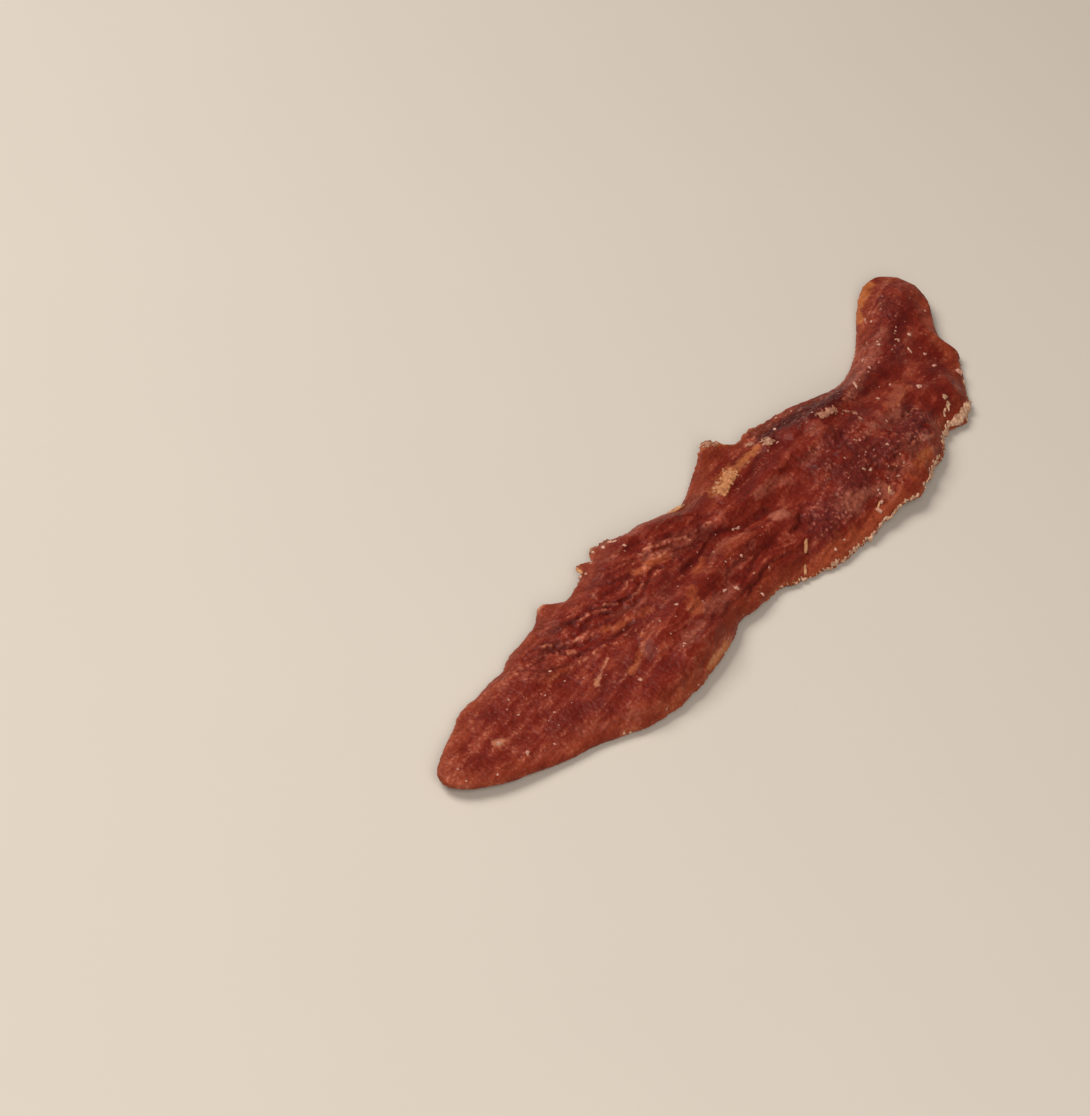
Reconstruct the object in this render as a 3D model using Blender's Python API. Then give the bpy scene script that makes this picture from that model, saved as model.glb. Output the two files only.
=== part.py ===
# A strip of air-dried beef jerky, sold as a dog treat: one torn, leathery slice of muscle.
# The slice is lofted from ribs that run across it, from the narrow tail to the blunt head.
# Lengths below are millimetres until the mesh is made, which is in metres.
# "Along" is measured from the tail tip, and "across" is positive towards the far edge.

import math

import bmesh
import bpy
import numpy as np
from mathutils import Vector, noise

MM = 0.001

# Driving sizes
STRIP_LENGTH = 130.0
RIM_THICKNESS = 1.2
RIM_ROUNDING = 0.75
CROWN_REACH = 4.6
CROWN_FULLNESS = 0.7

# How the ends and the rim curl up from the table
TAIL_LIFT = 0.9
TAIL_LIFT_REACH = 16.0
HEAD_LIFT = 1.0
HEAD_LIFT_REACH = 18.0
RIM_CURL = 0.7
RIM_CURL_REACH = 5.0
LEAST_CURL = 0.65
CURL_VARIATION = 0.7
CURL_LENGTH = 17.0
CURL_WIDTH = 30.0

# How finely the skin is divided
ROWS_ALONG = 134
POINTS_AROUND = 42
POINTS_ON_TOP = 26
RIM_CROWDING = 0.5
EDGE_SAMPLES = 1600

# Ribs, each from its far end to its near end, as (along, across) pairs
RIBS = (
    ((0.0, -0.5), (0.0, -0.8)),
    ((0.9, 1.3), (0.7, -2.4)),
    ((3.0, 2.3), (2.5, -4.3)),
    ((7.0, 3.4), (6.5, -7.1)),
    ((13.0, 5.0), (12.5, -9.9)),
    ((20.0, 5.1), (20.0, -12.7)),
    ((27.0, 5.5), (27.0, -16.3)),
    ((34.0, 5.7), (33.0, -17.6)),
    ((41.0, 5.2), (41.0, -17.8)),
    ((48.0, 5.9), (49.0, -16.9)),
    ((54.0, 6.0), (54.5, -16.7)),
    ((60.0, 4.6), (61.0, -17.6)),
    ((66.0, 2.5), (68.0, -20.4)),
    ((73.0, 2.6), (75.0, -21.7)),
    ((82.0, 2.3), (83.0, -22.9)),
    ((90.0, 0.9), (90.5, -23.6)),
    ((97.0, -1.6), (98.0, -22.7)),
    ((103.0, -2.9), (105.0, -20.9)),
    ((109.0, -2.2), (111.5, -20.3)),
    ((115.0, 0.3), (117.0, -16.7)),
    ((119.0, 2.4), (120.9, -13.9)),
    ((122.0, 3.7), (121.4, -10.7)),
    ((125.5, 4.6), (124.5, -7.8)),
    ((128.4, 3.9), (127.9, -5.2)),
    ((129.7, 1.6), (129.5, -2.7)),
    ((STRIP_LENGTH, -0.3), (STRIP_LENGTH, -0.8)),
)
FAR, NEAR = 0, 1

# Lobes and nicks of an edge: edge, along, how far it stands out, reach to the tail, reach to the head
LOBES = (
    (FAR, 12.6, 0.4, 1.6, 3.0),
    (FAR, 22.6, -0.5, 1.4, 1.4),
    (FAR, 35.8, 1.5, 2.2, 1.1),
    (FAR, 38.6, -0.6, 1.2, 2.5),
    (FAR, 46.6, 2.1, 1.7, 0.7),
    (FAR, 50.4, 1.7, 1.7, 3.2),
    (FAR, 64.5, -0.4, 2.0, 2.0),
    (FAR, 72.0, 0.9, 4.0, 4.0),
    (FAR, 79.2, 3.7, 4.6, 1.5),
    (FAR, 87.5, 0.4, 2.5, 2.5),
    (NEAR, 51.0, -0.7, 2.4, 2.2),
    (NEAR, 61.0, -0.3, 1.5, 1.5),
    (NEAR, 89.4, 0.5, 2.6, 1.2),
    (NEAR, 107.8, 0.9, 1.6, 1.6),
    (NEAR, 111.4, 0.9, 1.4, 1.0),
    (NEAR, 118.2, -0.3, 0.8, 1.6),
)

# Torn stretches of an edge: edge, from, to, depth of the teeth
TORN_STRETCHES = (
    (FAR, 42.0, 60.0, 0.34),
    (FAR, 76.0, 92.0, 0.32),
    (NEAR, 60.0, 114.0, 0.36),
    (NEAR, 30.0, 46.0, 0.16),
)
EDGE_WANDER = 0.22
EDGE_DEPTH = 4.5
TOOTH_LENGTH = 2.9
WANDER_LENGTH = 6.5
TORN_FADE = 3.0
TIP_FADE = 4.0

# Thickness of the meat along its middle: (along, thickness)
BODY_THICKNESS = (
    (0.0, 1.7),
    (8.0, 2.3),
    (24.0, 3.0),
    (44.0, 3.8),
    (62.0, 3.8),
    (76.0, 4.1),
    (92.0, 4.4),
    (108.0, 3.9),
    (120.0, 3.2),
    (130.0, 2.2),
)

# Places where the slice is shaved thin: along, across, reach along, reach across, share of the thickness lost
THIN_PLACES = (
    (76.5, 3.0, 7.0, 4.0, 0.75),
    (88.0, 1.2, 7.0, 3.0, 0.55),
    (99.0, -3.0, 8.0, 1.8, 0.45),
    (82.0, -22.0, 15.0, 4.6, 0.62),
    (66.0, -18.5, 5.0, 2.4, 0.40),
    (118.5, -13.5, 4.5, 4.2, 0.60),
    (107.0, -20.0, 6.0, 2.4, 0.40),
    (123.0, 3.6, 5.0, 1.8, 0.45),
    (36.0, 6.0, 3.0, 1.8, 0.35),
    (49.0, 6.0, 5.0, 2.0, 0.35),
)

# The relief's lines are set out by eye, looking down on the tail end from its near side.
# From there a point seems to shift by this much along and across for each unit of its height above the rim.
SIGHT_LEAN = (0.998, 0.462)

# Creases and furrows in the top: the line followed, half width, depth
CREASES = (
    (((49.0, -5.2), (57.0, -4.9), (65.0, -5.6), (75.0, -8.1), (86.0, -11.0)), 1.35, 1.15),
    (((34.0, -6.4), (42.0, -5.5), (49.0, -5.2)), 1.3, 0.45),
    (((26.0, 3.2), (32.5, 0.4), (39.0, -2.7), (45.0, -4.9)), 0.8, 0.95),
    (((30.5, 4.6), (37.0, 1.4), (43.5, -1.2), (48.5, -2.9)), 0.8, 0.75),
    (((37.5, 4.4), (44.5, 1.2), (51.0, -1.2), (55.0, -2.5)), 0.8, 0.65),
    (((44.0, 4.2), (51.0, 1.5), (58.0, -1.0), (64.0, -3.2)), 0.85, 0.75),
    (((52.0, 4.0), (59.0, 1.6), (65.0, -0.5), (72.0, -2.6)), 0.85, 0.6),
    (((21.0, -1.4), (28.0, -2.6), (36.0, -4.9)), 1.0, 0.6),
    (((51.0, -10.6), (60.0, -10.4), (68.0, -12.2), (76.0, -14.6)), 1.0, 0.75),
    (((57.0, -13.6), (65.0, -13.8), (72.0, -16.0)), 0.85, 0.55),
    (((88.8, -12.5), (90.4, -17.0), (93.6, -22.6)), 1.7, 0.75),
    (((62.5, -19.0), (66.0, -17.8), (71.5, -15.4)), 0.8, 0.7),
    (((99.0, -7.8), (106.0, -7.5), (112.0, -8.6), (116.0, -9.8)), 1.5, 0.6),
    (((96.0, -12.6), (103.0, -13.2), (110.0, -14.8)), 0.9, 0.6),
    (((77.0, -5.6), (86.0, -7.4), (95.0, -9.6)), 1.0, 0.7),
    (((8.0, -3.4), (16.0, -4.0), (24.0, -6.6)), 1.3, 0.35),
)

# Raised bundles of muscle in the top: the line followed, half width, height
BUNDLES = (
    (((28.0, -13.6), (36.0, -14.8), (47.0, -13.8)), 1.9, 0.8),
    (((40.0, -8.6), (52.0, -7.9), (60.0, -7.8), (69.0, -9.2)), 1.5, 0.75),
    (((68.0, -3.6), (75.0, -4.6), (83.0, -4.6), (92.0, -6.2)), 1.3, 0.9),
    (((89.0, -2.4), (96.0, -4.4), (104.0, -5.0), (112.0, -3.2)), 1.1, 0.85),
    (((102.5, -10.5), (108.5, -10.9)), 1.5, 0.7),
    (((114.0, -4.4), (121.0, -2.8), (126.0, -0.8)), 2.2, 0.7),
    (((71.5, -0.9), (77.5, -0.4)), 0.9, 0.7),
    (((84.0, -0.9), (86.0, -0.9)), 0.9, 0.5),
    (((72.4, -10.3), (72.8, -10.5)), 2.0, 0.9),
    (((94.0, -16.6), (102.0, -16.8)), 2.4, 0.7),
    (((77.0, -15.0), (86.0, -15.6)), 2.2, 0.6),
    (((49.0, 6.2), (55.5, 4.6)), 0.8, 0.35),
    (((47.0, 2.6), (56.0, 0.8)), 0.8, 0.35),
)

# Arches that hold the underside off the table: along, across, reach along, reach across, height
ARCHES = (
    (42.0, -6.0, 13.0, 14.0, 1.5),
    (90.0, -12.0, 11.0, 16.0, 1.9),
    (78.0, 6.0, 6.0, 5.0, 1.2),
)
CONTACT_DEPTH = 0.35

# Finer relief: creases run shallower at their ends, and no deeper than the rim allows
CREASE_END_SHARE = 0.4
RIM_CUT_SHARE = 0.35
RELIEF_FADE = 1.8
TIP_MARGIN = 0.4
GRAIN_HEIGHT = 0.2
GRAIN_LENGTH = 2.6
SWELL_HEIGHT = 0.35
SWELL_LENGTH = 11.0
FIBRE_STRETCH = 1.5
UNDERSIDE_GRAIN = 0.16

MEAT_COLOUR = (0.165, 0.030, 0.016, 1.0)
MEAT_ROUGHNESS = 0.5


def clear_scene():
    for old in list(bpy.data.objects):
        bpy.data.objects.remove(old)


def ease(share):
    """Rises smoothly from 0 to 1."""
    share = min(max(share, 0.0), 1.0)
    return share * share * (3.0 - 2.0 * share)


def hill(offset, reach):
    """1 at no offset, and near 0 beyond the reach."""
    return math.exp(-((offset / reach) ** 2))


def curve_through(points, place):
    """Point at a fractional place along a smooth curve through the points."""
    last = len(points) - 1
    start = min(int(place), last - 1)
    share = place - start
    corners = [np.array(points[min(max(start + step, 0), last)], float) for step in (-1, 0, 1, 2)]
    before, here, there, after = corners
    linear = there - before
    square = 2.0 * before - 5.0 * here + 4.0 * there - after
    cube = 3.0 * here - before - 3.0 * there + after
    return here + 0.5 * share * (linear + share * (square + share * cube))


def edge_outset(edge, along):
    """How far an edge stands out from the smooth outline, with its lobes, wander and torn teeth."""
    outset = EDGE_WANDER * noise.noise(Vector((along / WANDER_LENGTH, 7.0 * edge, 1.5)))
    for lobe_edge, centre, height, towards_tail, towards_head in LOBES:
        if lobe_edge == edge:
            reach = towards_tail if along < centre else towards_head
            outset += height * hill(along - centre, reach)
    for torn_edge, begins, ends, depth in TORN_STRETCHES:
        if torn_edge == edge:
            fade = ease((along - begins) / TORN_FADE) * ease((ends - along) / TORN_FADE)
            outset += fade * depth * 2.0 * noise.noise(Vector((along / TOOTH_LENGTH, 3.0 + 9.0 * edge, 0.5)))
    tips_fade = ease(along / TIP_FADE) * ease((STRIP_LENGTH - along) / TIP_FADE)
    return outset * tips_fade


def rib_at(place):
    """Far and near end of the smooth rib at a fractional place along the rib list, and both outsets."""
    far = curve_through([rib[FAR] for rib in RIBS], place)
    near = curve_through([rib[NEAR] for rib in RIBS], place)
    return far, near, edge_outset(FAR, far[0]), edge_outset(NEAR, near[0])


def rim_points(rib):
    """Where a rib meets the two torn edges."""
    far, near, far_outset, near_outset = rib
    outwards = (far - near) / max(np.linalg.norm(far - near), 1e-6)
    return far + outwards * far_outset, near - outwards * near_outset


def evenly_spaced_ribs():
    """One rib for each row of points, spaced evenly along the outline."""
    places = np.linspace(0.0, len(RIBS) - 1.0, EDGE_SAMPLES)
    rims = np.array([rim_points(rib_at(place)) for place in places])
    steps = np.linalg.norm(np.diff(rims, axis=0), axis=2).mean(axis=1)
    travelled = np.concatenate([[0.0], np.cumsum(steps)])
    wanted = np.linspace(0.0, travelled[-1], ROWS_ALONG + 1)
    return [rib_at(place) for place in np.interp(wanted, travelled, places)]


def distance_to_line(along, across, line):
    """Distance from a point to a line of straight runs, and 0 to 1 along it."""
    best, best_share = 1e9, 0.0
    runs = len(line) - 1
    for number in range(runs):
        (a_along, a_across), (b_along, b_across) = line[number], line[number + 1]
        run_along, run_across = b_along - a_along, b_across - a_across
        squared = run_along**2 + run_across**2
        share = ((along - a_along) * run_along + (across - a_across) * run_across) / squared
        share = min(max(share, 0.0), 1.0)
        gap = math.hypot(along - a_along - share * run_along, across - a_across - share * run_across)
        if gap < best:
            best, best_share = gap, (number + share) / runs
    return best, best_share


def relief(along, across):
    """Furrows, bundles and grain of the top, above or below its smooth crown."""
    cut = 0.0
    for line, half_width, depth in CREASES:
        gap, share = distance_to_line(along, across, line)
        fullness = CREASE_END_SHARE + (1.0 - CREASE_END_SHARE) * math.sin(math.pi * share)
        cut += (depth * fullness * hill(gap, half_width)) ** 3
    height = -(cut ** (1.0 / 3.0))
    for line, half_width, rise in BUNDLES:
        gap, _ = distance_to_line(along, across, line)
        height += rise * hill(gap, half_width)
    height += SWELL_HEIGHT * noise.noise(Vector((along, across * FIBRE_STRETCH, 4.0)) / SWELL_LENGTH)
    height += GRAIN_HEIGHT * noise.noise(Vector((along, across * FIBRE_STRETCH, 9.0)) / GRAIN_LENGTH)
    return height


def thickness(along, across, inset):
    """Thickness of the meat above its underside, before the relief."""
    stations, depths = zip(*BODY_THICKNESS)
    body = float(np.interp(along, stations, depths))
    left = 1.0
    for centre, side, reach_along, reach_across, loss in THIN_PLACES:
        left -= loss * hill(along - centre, reach_along) * hill(across - side, reach_across)
    body = max(body * left, RIM_THICKNESS)
    return RIM_THICKNESS + (body - RIM_THICKNESS) * ease(inset / CROWN_REACH) ** CROWN_FULLNESS


def underside(along, across, inset):
    """Height of the underside over the table: dried edges and both ends curl up from flat patches."""
    height = -CONTACT_DEPTH
    height += TAIL_LIFT * (1.0 - ease(along / TAIL_LIFT_REACH))
    height += HEAD_LIFT * (1.0 - ease((STRIP_LENGTH - along) / HEAD_LIFT_REACH))
    curl = LEAST_CURL + CURL_VARIATION * noise.noise(Vector((along / CURL_LENGTH, across / CURL_WIDTH, 2.5)))
    height += RIM_CURL * curl * (1.0 - ease(inset / RIM_CURL_REACH))
    for centre, side, reach_along, reach_across, rise in ARCHES:
        height += rise * hill(along - centre, reach_along) * hill(across - side, reach_across)
    height += UNDERSIDE_GRAIN * noise.noise(Vector((along, across, 14.0)) / GRAIN_LENGTH)
    return max(height, 0.0)


def place_on_rib(rib, share):
    """Plan position at a share of the rib from far to near, and its distance from the closer edge."""
    far, near, far_outset, near_outset = rib
    width = float(np.linalg.norm(far - near))
    outwards = (far - near) / max(width, 1e-6)
    far_pull = 1.0 - ease(share * width / EDGE_DEPTH)
    near_pull = 1.0 - ease((1.0 - share) * width / EDGE_DEPTH)
    spot = far + (near - far) * share + outwards * (far_outset * far_pull - near_outset * near_pull)
    from_far = share * width + far_outset * (1.0 - far_pull)
    from_near = (1.0 - share) * width + near_outset * (1.0 - near_pull)
    return spot[0], spot[1], max(min(from_far, from_near), 0.0)


def skin_point(rib, number):
    """Point of the skin on a rib. The numbers run over the top from far to near, then back beneath."""
    on_top = number <= POINTS_ON_TOP
    if on_top:
        share = number / POINTS_ON_TOP
    else:
        share = (POINTS_AROUND - number) / (POINTS_AROUND - POINTS_ON_TOP)
    share = RIM_CROWDING * 0.5 * (1.0 - math.cos(math.pi * share)) + (1.0 - RIM_CROWDING) * share
    along, across, inset = place_on_rib(rib, share)
    tip_inset = min(inset, along + TIP_MARGIN, STRIP_LENGTH - along + TIP_MARGIN)
    rounding = math.sqrt(1.0 - (1.0 - min(inset / RIM_ROUNDING, 1.0)) ** 2)
    base = underside(along, across, tip_inset)
    if not on_top:
        return along, across, base + 0.5 * RIM_THICKNESS * (1.0 - rounding)
    rise = thickness(along, across, tip_inset) - RIM_THICKNESS
    height = base + rise
    seen_along, seen_across = along + SIGHT_LEAN[0] * height, across + SIGHT_LEAN[1] * height
    fade = ease(tip_inset / RELIEF_FADE)
    bump = max(relief(seen_along, seen_across) * fade, -rise - RIM_CUT_SHARE * RIM_THICKNESS * fade)
    return along, across, base + 0.5 * RIM_THICKNESS * (1.0 + rounding) + rise + bump


def shape_skin(mesh):
    """Draws a ball out into the strip: its poles become the tail and head tips."""
    ribs = evenly_spaced_ribs()
    for vert in mesh.verts:
        direction = vert.co.normalized()
        row = round(math.acos(max(-1.0, min(1.0, -direction.z))) / math.pi * ROWS_ALONG)
        number = round(math.atan2(direction.y, direction.x) / math.tau * POINTS_AROUND) % POINTS_AROUND
        if row in (0, ROWS_ALONG):
            number = 0
        vert.co = Vector(skin_point(ribs[row], number)) * MM


def stand_on_origin(mesh):
    """Moves the strip so that the middle of its footprint is at the origin, and its underside at height 0."""
    points = np.array([vert.co for vert in mesh.verts])
    low, high = points.min(axis=0), points.max(axis=0)
    shift = Vector(((low[0] + high[0]) / 2.0, (low[1] + high[1]) / 2.0, low[2]))
    bmesh.ops.translate(mesh, verts=mesh.verts, vec=-shift)


def meat_material():
    material = bpy.data.materials.new("dried_meat")
    material.use_nodes = True
    shader = material.node_tree.nodes["Principled BSDF"]
    shader.inputs["Base Color"].default_value = MEAT_COLOUR
    shader.inputs["Roughness"].default_value = MEAT_ROUGHNESS
    shader.inputs["Metallic"].default_value = 0.0
    return material


def make_strip():
    skin = bmesh.new()
    bmesh.ops.create_uvsphere(skin, u_segments=POINTS_AROUND, v_segments=ROWS_ALONG, radius=1.0)
    shape_skin(skin)
    stand_on_origin(skin)
    bmesh.ops.recalc_face_normals(skin, faces=skin.faces)
    data = bpy.data.meshes.new("jerky_strip")
    skin.to_mesh(data)
    skin.free()
    data.shade_smooth()
    data.materials.append(meat_material())
    strip = bpy.data.objects.new("jerky_strip", data)
    bpy.context.scene.collection.objects.link(strip)
    return strip


clear_scene()
make_strip()
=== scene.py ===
import math
import random
import bpy
import numpy as np
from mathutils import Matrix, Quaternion, Vector, bvhtree, kdtree, noise


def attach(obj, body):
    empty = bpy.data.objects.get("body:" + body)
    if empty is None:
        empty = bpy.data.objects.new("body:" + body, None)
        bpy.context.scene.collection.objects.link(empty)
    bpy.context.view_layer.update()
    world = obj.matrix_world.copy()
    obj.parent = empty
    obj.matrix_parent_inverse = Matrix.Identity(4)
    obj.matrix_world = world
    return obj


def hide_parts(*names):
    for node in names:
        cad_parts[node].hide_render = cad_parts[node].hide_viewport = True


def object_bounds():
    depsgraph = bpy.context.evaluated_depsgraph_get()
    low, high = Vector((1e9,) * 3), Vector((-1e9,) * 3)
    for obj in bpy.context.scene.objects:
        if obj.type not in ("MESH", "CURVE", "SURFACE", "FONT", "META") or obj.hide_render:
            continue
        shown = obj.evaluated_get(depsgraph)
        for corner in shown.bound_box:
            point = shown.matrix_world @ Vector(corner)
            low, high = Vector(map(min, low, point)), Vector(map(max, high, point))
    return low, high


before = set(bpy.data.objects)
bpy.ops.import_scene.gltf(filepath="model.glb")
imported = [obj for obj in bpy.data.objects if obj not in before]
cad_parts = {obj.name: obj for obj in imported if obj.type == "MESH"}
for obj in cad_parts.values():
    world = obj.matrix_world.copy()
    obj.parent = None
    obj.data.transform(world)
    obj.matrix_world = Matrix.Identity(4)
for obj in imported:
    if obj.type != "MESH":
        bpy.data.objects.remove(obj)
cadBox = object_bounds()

mm = 0.001

# Places on the strip are in millimetres: along from the tail tip, across towards the far edge.
strip = {
    "middleAlong": 65.0,
    "middleAcross": -8.51,
}
stripMiddle = np.array([strip["middleAlong"], strip["middleAcross"], 0.0])  # where the frame's origin lies

# Photograph's viewpoint, in the strip's own millimetres.
viewpoint = {
    "along": -329.1,
    "across": -161.9,
    "height": 375.9,
    "heading": 24.85,    # degrees from the strip's length towards its far edge
    "lookDown": 42.264,
    "roll": 9.229,
    "lens": 132.53,
    "filmWidth": 36.0,
    "nearLimit": 20.0,
    "farLimit": 20000.0,
    "sightHeight": 1.3,  # the level on which patches and crumbs are measured, that of the rim
}


def linearColour(hexText):
    channels = [int(hexText[i:i + 2], 16) / 255.0 for i in (1, 3, 5)]
    return [c / 12.92 if c <= 0.04045 else ((c + 0.055) / 1.055) ** 2.4 for c in channels] + [1.0]


def addNode(tree, kind, settings=None, inputs=None):
    node = tree.nodes.new(kind)
    for name, value in (settings or {}).items():
        setattr(node, name, value)
    for name, value in (inputs or {}).items():
        if isinstance(value, bpy.types.NodeSocket):
            tree.links.new(value, node.inputs[name])
        else:
            node.inputs[name].default_value = value
    return node


def startMaterial(name, constants):
    material = bpy.data.materials.new(name)
    material.use_nodes = True
    shader = material.node_tree.nodes["Principled BSDF"]
    for socket, value in constants.items():
        shader.inputs[socket].default_value = value
    return material, material.node_tree, shader


def wear(piece, material):
    piece.data.materials.clear()
    piece.data.materials.append(material)


def makeActive(piece):
    bpy.ops.object.select_all(action="DESELECT")
    piece.select_set(True)
    bpy.context.view_layer.objects.active = piece


def applyModifier(piece, kind, settings):
    makeActive(piece)
    modifier = piece.modifiers.new(kind.lower(), kind)
    for name, value in settings.items():
        setattr(modifier, name, value)
    bpy.ops.object.modifier_apply(modifier=modifier.name)


def softStep(value, low, high):
    share = np.clip((value - low) / (high - low), 0.0, 1.0)
    return share * share * (3.0 - 2.0 * share)


def atLeast(least, share):
    # the share, squeezed into the range from least to 1
    return least + (1.0 - least) * share


def noiseAt(places, size, seed=0.0):
    return np.array([noise.noise(Vector(place)) for place in (places / size + seed).tolist()])


def noiseSum(places, layers):
    # layers of noise, each given as (strength, size, seed)
    return sum(strength * noiseAt(places, size, seed) for strength, size, seed in layers)


def sideways(places, size, alongSeed, acrossSeed):
    # a push in plan that wanders from place to place
    alongPush = noiseAt(places, size, alongSeed)
    acrossPush = noiseAt(places, size, acrossSeed)
    return np.column_stack([alongPush, acrossPush, np.zeros(len(places))])


def pebblesAt(places, size, seed=0.0):
    # 1 at the middle of a pebble, falling to about -0.4 in the gaps between
    nearest = [noise.voronoi(Vector(place))[0][0] for place in (places / size + seed).tolist()]
    return 1.0 - 1.9 * np.array(nearest)


def linesAt(places, size, width, seed=0.0):
    # 1 on thin winding lines, 0 between them
    return np.exp(-((noiseAt(places, size, seed) / width) ** 2))


def fibreLines(places, kind, heightShare=0.5):
    # winding lines that follow the fibres, which are turned by some degrees and draw the noise out
    turn = math.radians(kind["turn"])
    alongFibre = places[:, 0] * math.cos(turn) + places[:, 1] * math.sin(turn)
    acrossFibre = places[:, 1] * math.cos(turn) - places[:, 0] * math.sin(turn)
    drawnOut = np.column_stack([alongFibre / kind["longWay"], acrossFibre, places[:, 2] * heightShare])
    return linesAt(drawnOut, kind["spacing"], kind["width"], kind["seed"])


def distanceToLine(places, line):
    best = np.full(len(places), np.inf)
    corners = [np.array(corner, float) for corner in line]
    for start, end in zip(corners, corners[1:]):
        run = end - start
        share = np.clip(((places[:, :2] - start) @ run) / (run @ run), 0.0, 1.0)
        best = np.minimum(best, np.linalg.norm(places[:, :2] - start - share[:, None] * run, axis=1))
    return best


def lineRelief(places, lines, fray):
    # height or depth of the nearest of the lines, whose width varies with the fray
    relief = np.zeros(len(places))
    for size, halfWidth, line in lines:
        gap = distanceToLine(places, line) / (halfWidth * (1.0 + fray))
        relief = np.maximum(relief, size * np.exp(-(gap**2)))
    return relief


def zoneShare(places, zones, edgeNoise=0.0, core=0.35):
    # 0 to 1: how far a place lies inside the zones, which are full in their core and wander at their edge
    share = np.zeros(len(places))
    for strength, reach, line in zones:
        gap = distanceToLine(places, line) / reach + edgeNoise
        share = np.maximum(share, strength * (1.0 - softStep(gap, core, 1.0)))
    return share


def seenPlaces(places):
    # where each point stands on the rim's level when seen from the photograph's viewpoint
    eye = np.array([viewpoint["along"], viewpoint["across"]])
    eyeHeight = viewpoint["height"] - viewpoint["sightHeight"]
    reach = eyeHeight / (eyeHeight - (places[:, 2] - viewpoint["sightHeight"]))
    return np.column_stack([eye + (places[:, :2] - eye) * reach[:, None], places[:, 2]])


def stripPlaces(mesh):
    flat = np.empty(len(mesh.vertices) * 3)
    mesh.vertices.foreach_get("co", flat)
    return flat.reshape(-1, 3) / mm + stripMiddle


def putPlaces(mesh, places):
    mesh.vertices.foreach_set("co", ((places - stripMiddle) * mm).ravel())
    mesh.update()


def insideBox(places, margin=0.0):
    # places kept inside the CAD's own box, with a margin everywhere but at the underside
    lowest = np.array(cadBox[0]) / mm + stripMiddle
    highest = np.array(cadBox[1]) / mm + stripMiddle
    return np.clip(places, lowest + margin * np.array([1, 1, 0]), highest - margin)


def keepInside(mesh):
    putPlaces(mesh, insideBox(stripPlaces(mesh)))


def vertexNormals(mesh):
    flat = np.empty(len(mesh.vertices) * 3)
    mesh.vertices.foreach_get("normal", flat)
    return flat.reshape(-1, 3)


def storeShare(mesh, name, values):
    layer = mesh.attributes.new(name, "FLOAT", "POINT")
    layer.data.foreach_set("value", np.clip(values, 0.0, 1.0).astype(np.float32))


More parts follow.
